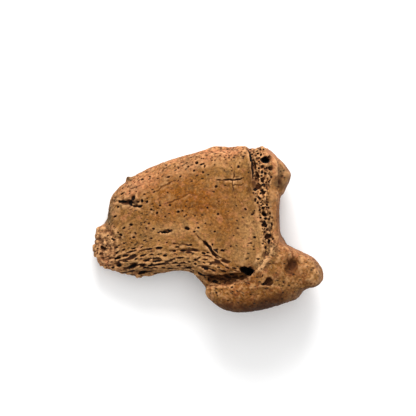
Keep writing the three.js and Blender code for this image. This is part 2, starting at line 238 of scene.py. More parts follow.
# hollows with soft or ragged edges: patches as further down, and smoothing passes
worn = {
    "lobe hollow": ((17.6, -7.5, 2.4, 2, -60, 1), 35),
    "rotted hollow": ((-16.4, 5.8, 3, 1.1, 3, 1), 25),
    "cleft": ((9.4, 12.6, 1.2, 3.4, 0, 1), 10),
}


def wearHollows(mesh):
    points = readPoints(mesh)
    ends, counts = edgeEnds(mesh)
    for patch, passes in worn.values():
        weight = (patchWeight(points[:, 0], points[:, 1], [patch]) * (points[:, 2] > 4))[:, None]
        for _ in range(passes):
            points += weight * (neighbourMean(points, ends, counts) - points)
    writePoints(mesh, points)


def pushOutline(mesh):
    points = readPoints(mesh)
    x, y, _ = points.T
    low, lowFull, highFull, high = neckSpan
    neck = ease(low, lowFull, y) * (1 - ease(highFull, high, y)) * ease(1.5, 4.0, points[:, 2])
    points[:, 0] += neck * np.where(x > neckWall[0][0], np.interp(x, *neckWall) - x, 0)
    for middleX, middleY, reach, pushX, pushY in pushes.values():
        weight = np.exp(-((points[:, 0] - middleX) ** 2 + (points[:, 1] - middleY) ** 2) / reach ** 2)
        points[:, 0] += weight * pushX
        points[:, 1] += weight * pushY
    writePoints(mesh, points)


# soft lumps of the skin by zone: rise in mm, size across in mm, seed
lumps = {
    "bone": [(0.1, 5.0, 11), (0.05, 2.1, 12)],
    "plate": [(0.13, 1.5, 13), (0.06, 0.7, 14)],
    "sole": [(0.17, 1, 15), (0.07, 0.5, 16)],  # here sizes are in streaks, as given by streakSize
    "crest": [(0.22, 0.8, 17), (0.1, 0.45, 22)],
    "back": [(0.06, 0.9, 20), (0.05, 0.45, 23)],
    "joint": [(0.03, 0.9, 21)],
    "rotted": [(0.5, 0.6, 25)],
}
# rounder lumps with creases between, sunk by a share of their rise
creased = {"knob": [(0.8, 1.35, 18), (0.3, 0.8, 19)], "plate": [(0.1, 1.3, 24)]}
creaseSink = {"knob": 0.2, "plate": 0.3}
lowered = {"crest": 0.12, "rotted": 0.15}  # zones that lie lower, in mm
streakSize = (2.6, 0.46, 0.9)  # mm along the fibres, across them and through the bone
backLift, skinSink = 0.16, 0.04


def lumpRise(points, zone):
    rises = (rise * softNoise(points, grain, seed) for rise, grain, seed in lumps[zone])
    return sum(rises) - lowered.get(zone, 0)


def creasedRise(points, zone):
    return sum(rise * (np.abs(softNoise(points, grain, seed)) - creaseSink[zone])
               for rise, grain, seed in creased[zone])


def shapeSkin(mesh):
    points = readPoints(mesh)
    normals = readNormals(mesh)
    x, y, side = planSpots(points)
    zones = zoneWeights(x, y, side)
    zones["rotted"] = patchWeight(x, y, [worn["rotted hollow"][0]]) * (side > 0)
    flat = ease(0.1, 0.5, np.abs(normals[:, 2]))  # the ridges are on the two broad sides
    rise = lumpRise(points, "bone")
    for route, height, reach in ridges.values():
        gap, _ = lineGap(x, y, route)
        rise += flat * height * np.exp(-(gap / reach) ** 2)
    streaks = np.column_stack([x, y - np.interp(x, *grainLine), side]) / streakSize
    for zone in ("plate", "sole", "crest", "rotted", "back", "joint"):
        rise += zones[zone] * lumpRise(streaks if zone == "sole" else points, zone)
    for zone in creased:
        rise += zones[zone] * creasedRise(points, zone)
    rise += backLift * ease(0.4, 0.9, normals[:, 1]) * (1 - zones["joint"])  # the back keeps its full height
    writePoints(mesh, points + normals * (rise - skinSink)[:, None])


def makeSkin(node):
    mesh = node.data.copy()
    mesh.transform(Matrix.Scale(1 / mm, 4))
    merging = bmesh.new()
    merging.from_mesh(mesh)
    bmesh.ops.remove_doubles(merging, verts=merging.verts, dist=skin["mergeGap"])
    merging.to_mesh(mesh)
    merging.free()
    mesh.materials.clear()
    piece = addObject("clawBone", mesh)
    remesh(piece, skin["coarseVoxel"])
    soften(piece, *skin["coarseSmooth"])
    pushOutline(piece.data)
    wearHollows(piece.data)
    shapeSkin(piece.data)
    return piece


# ---- pores, slits and cracks ----
# each pore: plan x, y, length, width, depth and, unless it lies along x, its turn in degrees

pores = {
    "back": [
        (-13.8, 10.5, 0.84, 0.32, 0.35, 25), (-8.3, 11, 0.67, 0.38, 0.4, 15),
        (-5.8, 11.1, 0.63, 0.34, 0.4, 20), (-6.9, 13.3, 0.55, 0.42, 0.35, 60),
        (-6.2, 12.9, 0.5, 0.38, 0.35, 20), (-5.4, 13.4, 0.42, 0.34, 0.3), (-4.1, 13.1, 0.67, 0.42, 0.4, 20),
        (-2.9, 12.3, 0.59, 0.5, 0.4, 30), (-18.1, 7.5, 0.94, 0.38, 0.45, 18),
        (-15.1, 7.9, 0.55, 0.27, 0.3, 10), (-13.3, 7.3, 0.63, 0.27, 0.3), (-11.3, 7.8, 0.55, 0.29, 0.3, 35),
        (-8.4, 7.7, 0.38, 0.34, 0.3), (-1, 11.9, 0.5, 0.5, 0.4), (-2.4, 14, 0.63, 0.63, 0.6),
        (-1.2, 13.6, 0.88, 0.38, 0.4, 10), (-0.7, 13.2, 0.63, 0.36, 0.35, 80), (0.1, 11.4, 0.42, 0.34, 0.3),
        (1.5, 13.5, 0.42, 0.34, 0.3), (1.5, 14.5, 0.42, 0.29, 0.3, 40), (0.8, 14.4, 0.42, 0.29, 0.3),
        (-0.3, 15.6, 0.63, 0.25, 0.3), (3.5, 15.2, 0.42, 0.34, 0.3), (4.4, 15, 0.42, 0.42, 0.3),
        (6.3, 13.1, 0.59, 0.46, 0.4, 40),
    ],
    "rotted hollow": [
        (-18.6, 5.8, 0.94, 0.46, 0.5, -30), (-17.6, 5.7, 2, 0.75, 0.7, -3), (-16.4, 5.7, 1.5, 0.9, 0.6),
        (-15.7, 6.5, 1.16, 0.84, 0.6, 60), (-16.2, 5.1, 1.05, 0.38, 0.5, -25),
        (-14.7, 5.7, 0.59, 0.42, 0.5), (-13.8, 6, 0.71, 0.67, 0.6, 70), (-12.8, 5.7, 0.63, 0.5, 0.5, -10),
        (-15.2, 4.8, 1.3, 0.55, 0.6, -15), (-14.2, 4.8, 1.2, 0.55, 0.7, 15),
    ],
    "near the tip": [
        (-18.9, 4.8, 0.63, 0.46, 0.45, 10), (-19.6, 2.6, 0.84, 0.38, 0.45, 15),
        (-20.8, 1.1, 0.55, 0.46, 0.4), (-16.1, 1, 0.84, 0.48, 0.6, 5), (-13.3, 1.5, 0.84, 0.29, 0.35, 22),
        (-17.6, 0.3, 0.84, 0.4, 0.45, 18), (-12.9, 0.3, 0.63, 0.32, 0.35), (-11.4, 0.1, 0.63, 0.42, 0.45),
        (-12.4, 1.2, 0.63, 0.27, 0.3, 20), (-15.6, -1.7, 0.84, 0.42, 0.5, 5),
        (-15.2, -0.9, 0.5, 0.32, 0.35, -40), (-11.9, -1.9, 0.63, 0.34, 0.35),
        (-18.8, -0.7, 0.63, 0.29, 0.4, 20), (-18.3, -1.2, 0.84, 0.4, 0.45, -25),
        (-19.8, -2.1, 0.88, 0.53, 0.55, -15), (-13.3, -2.4, 0.84, 0.27, 0.35, 18),
        (-10.3, -2.3, 0.55, 0.23, 0.3), (-8.6, -2.8, 0.55, 0.27, 0.35), (-17.7, -3, 0.5, 0.34, 0.35),
        (-22.1, -3.9, 0.95, 1.05, 0.45, 60), (-21.3, -3.5, 0.5, 0.42, 0.4),
    ],
    "middle": [
        (-11.9, 4.1, 0.55, 0.44, 0.45, 10), (-10.7, 3.4, 0.48, 0.57, 0.45), (-10, 4.9, 0.55, 0.38, 0.4),
        (-7.9, 5, 0.5, 0.42, 0.4), (-6.3, 3.6, 0.67, 0.44, 0.5, -5), (-5.4, 3.8, 0.63, 0.27, 0.35, -10),
        (-9, 2.6, 0.46, 0.34, 0.35), (-4.5, 3, 0.46, 0.29, 0.3), (-2.7, 2.8, 0.55, 0.42, 0.25),
        (-0.2, 4.5, 0.5, 0.5, 0.35), (2.1, 3.2, 0.59, 0.4, 0.5), (7.8, 4.2, 0.63, 0.44, 0.5),
        (1.7, 8.9, 0.71, 0.48, 0.5, 20), (1.4, -0.4, 0.48, 0.36, 0.4), (-0.5, 1.2, 0.46, 0.25, 0.3),
        (6.3, 0.3, 0.59, 0.36, 0.4, 10), (9.7, -1.6, 0.71, 0.53, 0.6, -25), (4.7, -3.6, 0.42, 0.34, 0.35),
        (-2, 0.3, 0.59, 0.36, 0.45), (-2.8, -0.5, 0.55, 0.29, 0.4, -5), (8.8, -2.9, 1.26, 0.25, 0.3),
        (9.6, -4.2, 0.67, 0.27, 0.4, -20), (10.4, -6.1, 0.76, 0.36, 0.5), (8, -6.2, 0.53, 0.23, 0.3),
        (-8.9, -0.5, 2.73, 0.55, 0.9, -9), (-4.2, 0.1, 1.26, 0.61, 0.8, -30),
    ],
    "sole edge": [
        (-13.4, -9, 1.7, 0.5, 0.9, 4), (-15.6, -4, 0.94, 0.34, 0.45, 12),
        (-13.9, -3.8, 0.59, 0.27, 0.35, 25), (-12.3, -4.2, 1.36, 0.34, 0.5, 5),
        (-19.3, -3.8, 0.84, 0.4, 0.5, 25), (-17.7, -4.3, 0.71, 0.34, 0.45, 22),
        (-16.3, -4.7, 0.63, 0.29, 0.4, 10), (-17.3, -5.5, 1.26, 0.53, 0.7, 8),
        (-15.6, -5.4, 0.67, 0.29, 0.4, 25), (-19, -4.9, 0.84, 0.42, 0.5, 40),
        (-15.9, -5.8, 0.67, 0.29, 0.4, 10), (-13.6, -5.5, 1.16, 0.38, 0.55, 15),
        (-11.9, -5.3, 1.05, 0.29, 0.45, 8), (-15, -6.3, 0.67, 0.36, 0.5, 15),
        (-19, -6.1, 1.26, 0.44, 0.65, 18), (-10.6, -6.2, 1.68, 0.53, 0.8, 3),
        (-12.8, -6.5, 1.47, 0.44, 0.7, 12), (-9, -5.5, 0.76, 0.44, 0.6), (-17.3, -6.8, 1.05, 0.36, 0.55, 5),
        (-18.8, -7.5, 1.05, 0.57, 0.7, -8), (-15.8, -7.7, 2.1, 0.97, 0.9, 28),
        (-13.6, -7.6, 1.26, 0.63, 0.8, 18), (-11.8, -7.3, 0.46, 0.36, 0.45),
        (-9.9, -7.3, 1.47, 0.48, 0.8, 4), (-8.7, -7.1, 1.16, 0.38, 0.7, 4),
        (-7.3, -6.3, 1.16, 0.34, 0.5, 8), (-6.9, -7.1, 1.26, 0.42, 0.6, 3), (-5, -7.1, 1.26, 0.4, 0.6, 3),
        (-12.7, -8.2, 1.89, 0.36, 0.6, 2), (-11.1, -8.1, 1.05, 0.34, 0.55),
        (-9.3, -8.2, 0.76, 0.4, 0.55, -20), (-13.9, -9.3, 1.26, 0.53, 0.8, 5),
        (-12.4, -9, 1.47, 0.36, 0.5, 8), (-6.2, -7.7, 0.63, 0.4, 0.5), (-6.5, -3.7, 0.67, 0.36, 0.45, 5),
        (-7.1, -4.5, 0.73, 0.42, 0.5), (-5.2, -4.5, 1.26, 0.46, 0.6, -3), (-3.5, -3.3, 0.63, 0.4, 0.55),
        (-2.8, -4.4, 1.68, 0.44, 0.6), (-4.7, -7.7, 0.63, 0.29, 0.4), (-7.7, -8.7, 0.84, 0.27, 0.4),
        (-20, -8.1, 0.84, 0.36, 0.5, 30),
    ],
    "root": [
        (-2.7, -6.4, 0.76, 0.4, 0.55, -3), (-2.6, -7.3, 0.73, 0.4, 0.55), (-0.9, -5, 1.05, 0.36, 0.5, -5),
        (0, -4.9, 0.73, 0.34, 0.45, 5), (-0.8, -7, 0.63, 0.27, 0.4, -15), (0.7, -7.3, 0.71, 0.29, 0.4, -5),
        (-1.9, -6, 1.05, 0.27, 0.35, 25), (-0.4, -6.4, 1.05, 0.25, 0.35, 10),
        (1.3, -8.7, 1.05, 0.27, 0.4, -12), (3.2, -8.8, 1.26, 0.32, 0.5, -15),
        (4.9, -9.5, 1.05, 0.29, 0.45, -15), (3, -7.5, 0.76, 0.27, 0.4, -20),
        (4.1, -8.1, 0.76, 0.29, 0.4, -15), (0.9, -3.3, 0.59, 0.4, 0.4, -60), (1.9, -4.2, 0.55, 0.25, 0.35),
        (3.1, -4.5, 0.94, 0.5, 0.5, -20),
    ],
    "crest": [
        (10.3, 16.4, 0.67, 0.55, 0.6), (9.9, 15.4, 0.53, 0.42, 0.5), (10.4, 15.8, 0.55, 0.42, 0.5),
        (11.1, 15.5, 0.42, 0.57, 0.5), (9.1, 15.8, 0.5, 0.42, 0.4), (9.5, 14.5, 0.63, 0.71, 0.6),
        (11.4, 13.1, 0.71, 0.55, 0.6, 30), (10.7, 12.8, 0.5, 0.42, 0.5), (9.9, 12.9, 0.59, 0.46, 0.6),
        (10.1, 12, 0.63, 0.46, 0.6), (11.2, 12, 0.55, 0.76, 0.6), (12.3, 12.8, 0.42, 0.63, 0.5),
        (13, 12.6, 0.97, 0.5, 0.7, -12), (11.2, 11.2, 0.42, 0.5, 0.5), (12, 11.7, 0.63, 0.42, 0.5),
        (13.3, 10.9, 0.63, 0.55, 0.5, 40), (11.3, 10.2, 0.84, 0.67, 0.8, -60), (12.1, 9.8, 0.42, 0.36, 0.5),
        (11.2, 9.1, 0.63, 0.71, 0.8), (11.8, 9, 0.42, 0.38, 0.4), (11, 8.2, 0.67, 0.53, 0.7),
        (11.1, 7.5, 0.55, 0.5, 0.6), (10.5, 9.7, 0.5, 0.36, 0.4), (9.4, 7.5, 0.59, 0.4, 0.5),
        (10.6, 6.5, 0.97, 0.5, 0.6, -55), (9.8, 6.1, 0.94, 0.63, 0.35, 40), (10.4, 5.5, 0.55, 0.5, 0.5),
        (12.3, 5.1, 0.55, 0.42, 0.5), (11.5, 5.2, 0.4, 0.38, 0.4), (11.5, 4.3, 0.63, 0.57, 0.7),
        (12.6, 4.5, 0.38, 0.38, 0.4), (10.8, 4, 0.42, 0.38, 0.4), (9.7, 3.8, 0.5, 0.4, 0.4),
        (9.3, 3.2, 0.84, 0.57, 0.4), (11.8, 3.1, 1.1, 0.64, 0.9, -55), (12.8, 3.2, 0.46, 0.67, 0.6),
        (12.1, 2.2, 0.63, 0.59, 0.7), (10.9, 2.5, 0.55, 0.4, 0.5), (12.8, 2, 0.4, 0.55, 0.5),
        (12, 0.8, 0.76, 0.6, 0.9), (13.4, 1, 1.05, 0.46, 0.6, 85), (13.2, 0.1, 0.42, 0.38, 0.5),
        (11.9, -0.6, 0.5, 0.42, 0.5), (12.9, -1.3, 0.84, 0.71, 0.7), (12.3, -0.1, 0.42, 0.36, 0.4),
        (12.8, -2.5, 0.9, 0.74, 0.9, 20), (12, -2.1, 0.46, 0.34, 0.5), (13.6, -2, 0.42, 0.36, 0.5),
        (11.4, -3, 0.53, 0.36, 0.4), (12.1, -3.7, 0.63, 0.42, 0.5, 90),
    ],
    "recess": [
        (0.3, -10.5, 1.1, 0.6, 0.4, -20), (1.5, -10.9, 1.5, 0.5, 0.4, -8), (2.9, -10.5, 1.5, 0.5, 0.35, 5),
        (4.5, -10.5, 1.3, 0.4, 0.3, 5), (5.7, -9.9, 1.6, 0.45, 0.35, 8), (3.4, -11, 1, 0.3, 0.25),
        (1, -10, 1.2, 0.35, 0.35, -15), (7, -9.8, 1.2, 0.4, 0.3, 10),
    ],
    "large holes": [
        (12, 14.45, 1.95, 1.45, 2.4, -10), (13, 15.2, 1.5, 1, 0.28, 45), (9.5, 9.2, 2.2, 1.3, 0.26, -75),
        (10.1, 8.6, 1, 0.4, 0.55, 25), (8.9, 16.7, 0.7, 1, 0.9), (10, 8.3, 1.05, 0.63, 0.6, 25),
        (15, 9.9, 1.3, 0.7, 0.24, -65), (15.5, 11, 0.5, 0.35, 0.22, 20), (14.7, 8.9, 0.5, 0.4, 0.2),
        (8.5, -8.7, 3.9, 1.8, 3.8, -20), (12.8, -10.6, 1.68, 1.16, 0.24, 20),
        (12.9, -11.5, 1.68, 1.34, 0.2, -10), (12.1, -11.3, 0.5, 1.3, 0.45, 10),
        (11.7, -11.4, 0.92, 0.55, 0.6, 10), (11.3, -9.8, 0.55, 0.32, 0.4, 60),
        (-0.1, -12.1, 0.67, 0.5, 0.4, -60), (1.7, -13.4, 0.5, 0.63, 0.3), (4.9, -12, 0.63, 0.34, 0.35, 10),
        (4.2, -14.9, 0.5, 0.42, 0.3),
    ],
}

stretched = {"sole edge": (1.2, 0.92)}  # pores made longer and narrower, as shares of the sizes above

# each crack: its route in plan, width and depth
cracks = {
    "cleft": ([(8.2, 16.9), (8.9, 15.4), (9.2, 13.6), (9.4, 11.9), (9.5, 10.4)], 0.44, 0.62),
    "furrow's start": ([(-2.8, -0.8), (-1.8, -1.8), (-0.9, -2.6)], 0.26, 0.26),
    "furrow": ([(-1.1, -2.4), (0.3, -3.7), (0.9, -4.7)], 0.5, 0.5),
    "furrow's end": ([(0.9, -4.7), (1.7, -5.5), (2.8, -6.1), (3.8, -6.5), (5.1, -7)], 0.3, 0.26),
    "cross crack": ([(1.7, 10.3), (3.5, 10.4), (4.7, 10.3), (5.8, 10.3), (6.6, 10.4), (7.7, 10.8)],
                    0.3, 0.45),
    "upper crack": ([(5.7, 12.6), (5.4, 11.6), (5.4, 10.4)], 0.22, 0.32),
    "lower crack": ([(5.4, 10.4), (5.3, 9.4), (5.4, 8.1)], 0.22, 0.27),
    "side crack": ([(5.4, 9.2), (6.8, 9.2), (7.6, 9.6)], 0.21, 0.22),
    "sole crack": ([(-7.7, -3), (-6.3, -2.9), (-4.2, -3.4), (-2.9, -3.7)], 0.27, 0.4),
    "long scratch": ([(-8.6, 5.4), (-6.1, 6.4), (-3.5, 7.6)], 0.26, 0.27),
    "back scratch": ([(-11.3, 7.8), (-9.4, 8.9), (-7.9, 9.8), (-6.7, 10.5)], 0.24, 0.24),
}

# pores strewn by zone: how many per square mm, length, how slender, depth
strewn = {
    "plain": (0.26, (0.18, 0.44), (1.2, 2.6), (0.12, 0.3)),
    "knob": (0.6, (0.28, 0.6), (1, 1.8), (0.15, 0.4)),
    "sole": (1.2, (0.8, 2.2), (3.4, 5.6), (0.4, 0.8)),
    "crest": (2.6, (0.2, 0.42), (1, 1.6), (0.22, 0.5)),
    "back": (1.6, (0.24, 0.55), (1.2, 2.6), (0.15, 0.35)),
    "plate": (0.2, (0.22, 0.5), (1, 2.2), (0.12, 0.3)),
    "joint": (0.12, (0.2, 0.35), (1, 1.4), (0.1, 0.2)),
}
strewing = {
    "seed": 4021,
    "upper": 1.5,  # mm above the mid plane, where they keep clear of the placed pores
    "clear": 0.6,  # by this share of their length
    "sway": 0.18,  # radians, how much they turn from the grain
}


def poreAt(place, outward, longWay, size):
    # a pore's middle on the skin, its three ways, and its length, width and depth
    wideWay = outward.cross(longWay).normalized()
    return np.array(place), np.array((wideWay.cross(outward), wideWay, outward)), size


def skinUnder(surface, x, y):
    place, normal, _, _ = surface.ray_cast(Vector((x, y, 40)), -up)
    return place, normal


rims = {
    "spots": 8, "reach": 0.65,  # where the rim is felt for, in shares of a pore's length and width
    "deep": 0.5,  # mm: a pore deeper than this may be in the solid already
    "open": 0.3,  # mm: how far below its rim the skin then lies
    "leastDepth": 0.15,
}


def namedPores(surface):
    found = []
    for name, group in pores.items():
        longer, wider = stretched.get(name, (1, 1))
        for x, y, length, width, depth, *turn in group:
            length, width = length * longer, width * wider
            place, normal = skinUnder(surface, x, y)
            if place is None:
                continue
            # the solid is already hollow at the larger holes, so only what is missing is sunk
            angle = math.radians(turn[0] if turn else 0)
            around = []
            for step in range(rims["spots"]):
                swing = math.tau * step / rims["spots"]
                u, v = math.cos(swing) * length * rims["reach"], math.sin(swing) * width * rims["reach"]
                rim, _ = skinUnder(surface, x + u * math.cos(angle) - v * math.sin(angle),
                                   y + u * math.sin(angle) + v * math.cos(angle))
                if rim is not None:
                    around.append(rim.z)
            already = max(0, np.mean(around) - place.z) if depth > rims["deep"] else 0
            if already > rims["open"]:
                normal = up
            longWay = Vector((math.cos(angle), math.sin(angle), 0))
            depth = max(rims["leastDepth"], depth - already)
            found.append(poreAt(place, normal, longWay, (length, width, depth)))
    return found


def strewnPores(mesh, named):
    draw = np.random.default_rng(strewing["seed"])
    mesh.calc_loop_triangles()
    corners = np.empty(len(mesh.loop_triangles) * 3, dtype=np.int32)
    mesh.loop_triangles.foreach_get("vertices", corners)
    triangles = readPoints(mesh)[corners.reshape(-1, 3)]
    cross = np.cross(triangles[:, 1] - triangles[:, 0], triangles[:, 2] - triangles[:, 0])
    areas = np.linalg.norm(cross, axis=1) / 2
    thickest = max(rate for rate, *_ in strewn.values())
    picks = draw.choice(len(areas), int(areas.sum() * thickest), p=areas / areas.sum())
    places = triangles[picks].mean(axis=1)
    normals = cross[picks] / (2 * areas[picks])[:, None]
    x, y, side = planSpots(places)
    zones = zoneWeights(x, y, side)
    zones["plain"] = np.clip(1 - sum(zones.values()), 0, 1)
    names = list(strewn)
    weights = np.array([zones[name] for name in names])
    kinds = weights.argmax(axis=0)
    rates = np.array([strewn[name][0] for name in names])[kinds] * weights.max(axis=0)
    taken = np.array([(*place[:2], size[0] / 2) for place, _, size in named])
    found = []
    for i in np.flatnonzero(draw.random(len(picks)) < rates / thickest):
        _, lengths, slender, depths = strewn[names[kinds[i]]]
        length = draw.uniform(*lengths)
        if side[i] > strewing["upper"]:
            gaps = np.hypot(taken[:, 0] - places[i, 0], taken[:, 1] - places[i, 1]) - taken[:, 2]
            if gaps.min() < length * strewing["clear"]:
                continue
        slope = np.interp(x[i] + 0.5, *grainLine) - np.interp(x[i] - 0.5, *grainLine)
        turn = math.atan(slope) + draw.normal(0, strewing["sway"])
        normal = Vector(normals[i])
        longWay = Vector((math.cos(turn), math.sin(turn), 0))
        if abs(longWay.dot(normal)) > 0.9:
            longWay = Vector((0, math.sin(turn), math.cos(turn)))
        size = (length, length / draw.uniform(*slender), draw.uniform(*depths))
        found.append(poreAt(places[i], normal, longWay, size))
    return found


slits = {
    "size": (2.0, 0.32, 1.0),  # mm along the fibres, across them and through the bone
    "finerBy": (0.8, 0.9, 1.1), "finerShift": 7.3,
    "depth": 0.5, "finerDepth": 0.42,
    "nearKnob": (-18.5, -12.0),  # where they grow from half their depth to all of it
}


def slitDips(points):
    # long slits between the fibres of the sole, about a millimetre apart
    x, y, side = planSpots(points)
    rows = np.column_stack([x, y - np.interp(x, *grainLine), side]) / slits["size"]
    finer = rows * slits["finerBy"] + slits["finerShift"]
    depth = slits["depth"] * ease(0.38, 0.6, softNoise(rows, 1, 26))
    depth += slits["finerDepth"] * ease(0.42, 0.62, softNoise(finer, 1, 27))
    depth *= 0.5 + 0.5 * ease(*slits["nearKnob"], x)
    return zoneWeights(x, y, side)["sole"] * ease(-0.5, 2.5, np.interp(x, *soleTop) - y) * depth


edges = {
    "ragged": 0.28, "raggedSize": 0.38,  # how uneven the rims are, and over what length in mm
    "stray": 0.22, "straySize": 0.75,  # how far a rim strays, and over what length in mm
    "pore": (0.55, 1.12), "crack": (0.45, 1.2),  # from floor to rim, in shares of the half width
    "broken": (0.45, 0.55), "brokenSize": 1.0,  # a crack's least depth, and what is added where it is whole
    "strayFrom": 0.7,  # mm: the rims of narrower pores stray less
    "raggedBetween": (0.4, 0.6),  # mm: wider holes and thinner slits have smoother rims
    # how far skin may turn from a pore's mouth and still be sunk or painted with shade
    "cutFacing": 0.25, "poreShadeFacing": -0.6,
}


def poreDips(points, normals, found, facing):
    # how deep each point lies in a pore or crack, the deeper one where two meet, and which way is out of it
    finder = KDTree(len(points))
    for i, point in enumerate(points):
        finder.insert(point, i)
    finder.balance()
    ragged = 1 + edges["ragged"] * softNoise(points, edges["raggedSize"], 41)
    shifts = [softNoise(points, edges["straySize"], seed) for seed in (42, 43, 44)]
    stray = edges["stray"] * np.column_stack(shifts)
    thin, wide = edges["raggedBetween"]
    dips = np.zeros(len(points))
    outward = normals.copy()
    for middle, ways, (length, width, depth) in found:
        near = np.array([i for _, i, _ in finder.find_range(middle, length * 0.7 + depth * 0.5)], dtype=int)
        if len(near) == 0:
            continue
        offset = (points[near] + stray[near] * min(1, width / edges["strayFrom"]) - middle) @ ways.T
        reach = np.hypot(offset[:, 0] * 2 / length, offset[:, 1] * 2 / width)
        reach *= 1 + (ragged[near] - 1) * min(1, wide / width, width / thin)
        dip = depth * (1 - ease(*edges["pore"], reach)) * (normals[near] @ ways[2] > facing)
        deeper = dip > dips[near]
        dips[near[deeper]] = dip[deeper]
        outward[near[deeper]] = ways[2]
    top = ease(0.2, 0.5, normals[:, 2]) if facing > 0 else points[:, 2] > 2
    least, more = edges["broken"]
    broken = least + more * ease(-0.4, 0.2, softNoise(points, edges["brokenSize"], 45))
    slit = slitDips(points)
    deeper = slit > dips
    dips[deeper] = slit[deeper]
    outward[deeper] = normals[deeper]
    for route, width, depth in cracks.values():
        gap, share = lineGap(points[:, 0] + stray[:, 0], points[:, 1] + stray[:, 1], route)
        width = width * (1 - 0.6 * np.abs(2 * share - 1) ** 3)
        dip = top * depth * broken * (1 - ease(*edges["crack"], gap * 2 / width * ragged))
        deeper = dip > dips
        dips[deeper] = dip[deeper]
        outward[deeper] = normals[deeper] * 0.3 + np.array(up) * 0.7
    return dips, outward


def cutPores(piece):
    surface = bmesh.new()
    surface.from_mesh(piece.data)
    tree = BVHTree.FromBMesh(surface)
    surface.free()
    named = namedPores(tree)
    loose = strewnPores(piece.data, named)
    points = readPoints(piece.data)
    dips, outward = poreDips(points, readNormals(piece.data), named + loose, edges["cutFacing"])
    writePoints(piece.data, points - outward * dips[:, None])
    print("pores:", len(named), "placed,", len(loose), "strewn")
    return named + loose


# ---- where the colour changes ----
# each patch: plan x, y, reach along and across, turn in degrees, strength

patches = {
    "orange": [
        (-3.8, 6.6, 8.5, 4, -6, 1), (3.6, 1.2, 4.5, 3, -30, 0.55), (-8.5, 3.4, 5, 2.4, 5, 0.5),
        (14.6, 4.2, 1.5, 7, -5, 0.5), (6.4, -12.4, 3.2, 1.6, 25, 0.6), (4, -8.2, 5, 2, -15, 0.5),
        (10.2, -9.8, 3, 1.6, 30, 0.5), (17.2, -7.6, 2.8, 2.3, -60, 0.85), (8.6, -14.8, 6, 2, 10, 0.6),
        (14.2, 3.4, 1, 5, -3, 0.6),
    ],
    # dry bone, and painted highlight along the claw's back and on the crest's ridges
    "pink": [
        (-2, 14, 9, 1.5, 18, 0.6), (-14.5, 9.6, 5, 2.1, 28, 0.9), (2.5, 16.2, 5.5, 1, 2, 0.9),
        (17.4, -4.3, 3, 1.6, -35, 0.8), (21.6, -6.6, 2.6, 2.2, -30, 0.2), (-21.6, -5.2, 2.4, 4.2, 0, 0.8),
        (12.6, 15.6, 2, 1, -20, 0.8), (16.2, 12.4, 1.2, 2, 25, 0.5), (14.8, -2, 1, 2.4, 5, 0.6),
        (20, -9.6, 3, 1.6, 20, 0.1), (14.3, 6, 0.8, 3, 0, 0.4), (-22, -2, 1.6, 2, 0, 0.5),
        (11.3, 12, 1.6, 5, 0, 0.4), (13.9, 13.2, 0.6, 2.6, 10, 0.85),
    ],
    "pale": [
        (-21.6, -5, 2.6, 4, 0, 0.7), (-8, -7, 9, 1.8, 4, 0.7), (12.6, 5.6, 1.5, 4.2, -5, 0.4),
        (-18, -7.4, 4, 2, -20, 0.6), (8.8, 0.2, 3.4, 3.6, 0, 0.9), (-8, -0.2, 6, 1.3, 2, 0.6),
        (7.6, -5.2, 2.6, 2.2, -20, 0.45), (-1.2, 2.2, 4, 1, 0, 0.25), (11.2, -6.6, 1.4, 3.4, -38, 0.5),
    ],
    "grey": [
        (-16.4, 5.7, 2.6, 0.9, 0, 0.9), (-20.9, 2.6, 0.8, 2.2, 5, 0.8), (15.6, 12.2, 1.2, 2.2, 20, 0.5),
        (-21.2, -2.4, 2.6, 3.4, 0, 0.5), (-15.8, -7.8, 1, 0.5, 28, 0.8), (12.7, 0.4, 0.7, 3, -8, 0.6),
        (13.2, -4.6, 1.2, 2.8, -28, 0.7), (11.4, -7.4, 0.9, 1.4, -40, 0.6), (15.1, 9.8, 1, 0.8, -40, 0.8),
        (-16.6, 10.6, 0.6, 0.5, 35, 1), (-4.6, 13.4, 2.6, 0.9, 22, 0.4), (-15.5, 9, 1.5, 0.7, 30, 0.4),
    ],
    # soil brown, and painted shade in the recess under the blade's lower rim, in the cleft and along the
    # plate's lower edge
    "brown": [
        (-16.9, 10.7, 0.5, 0.45, 35, 0.9), (4, -10.3, 4.4, 0.75, 3, 0.95), (9.6, -17.4, 8, 2.8, 12, 0.97),
        (13.6, -14.6, 4.4, 1.2, 25, 0.6), (1, -16.6, 3.4, 1.5, -35, 0.5), (-13.6, -8.8, 6, 1, 4, 0.5),
        (15, 9.8, 1.2, 0.7, -60, 0.85), (15.4, 11.6, 0.7, 1.6, 15, 0.35), (17.6, -7.4, 2.4, 1.2, -62, 0.6),
        (17, -9.4, 2.6, 1.2, 20, 0.3), (-16.4, 5.6, 2, 0.6, 0, 0.65), (4.8, -16.6, 3.6, 1.3, -8, 0.7),
        (11.6, -16.6, 4.5, 1.4, 20, 0.93), (0.8, -10.2, 1.9, 1, -10, 0.8), (9.4, 12.4, 0.5, 3, -3, 0.6),
        (16.6, 11.2, 0.9, 1.6, 0, 0.3), (-20.9, 3, 0.5, 1.8, 5, 0.4), (9.6, 9.4, 0.6, 1, 0, 0.6),
        (12.8, -10.9, 1.2, 0.9, 20, 0.4),
    ],
}


def grainAcross(x, y):
    # rows of fibre, following the sole at one side and the back at the other
    sole, back = np.interp(x, *grainLine), np.interp(x, *backEdge)
    share = (y - sole) / (back - sole)
    return np.where(share > 0, share * 14, y - sole)


def patchWeight(x, y, spots):
    bare = np.ones(len(x))
    for middleX, middleY, along, across, turn, strength in spots:
        angle = math.radians(turn)
        u = (x - middleX) * math.cos(angle) + (y - middleY) * math.sin(angle)
        v = (y - middleY) * math.cos(angle) - (x - middleX) * math.sin(angle)
        bare *= 1 - strength * np.exp(-(u / along) ** 2 - (v / across) ** 2)
    return 1 - bare


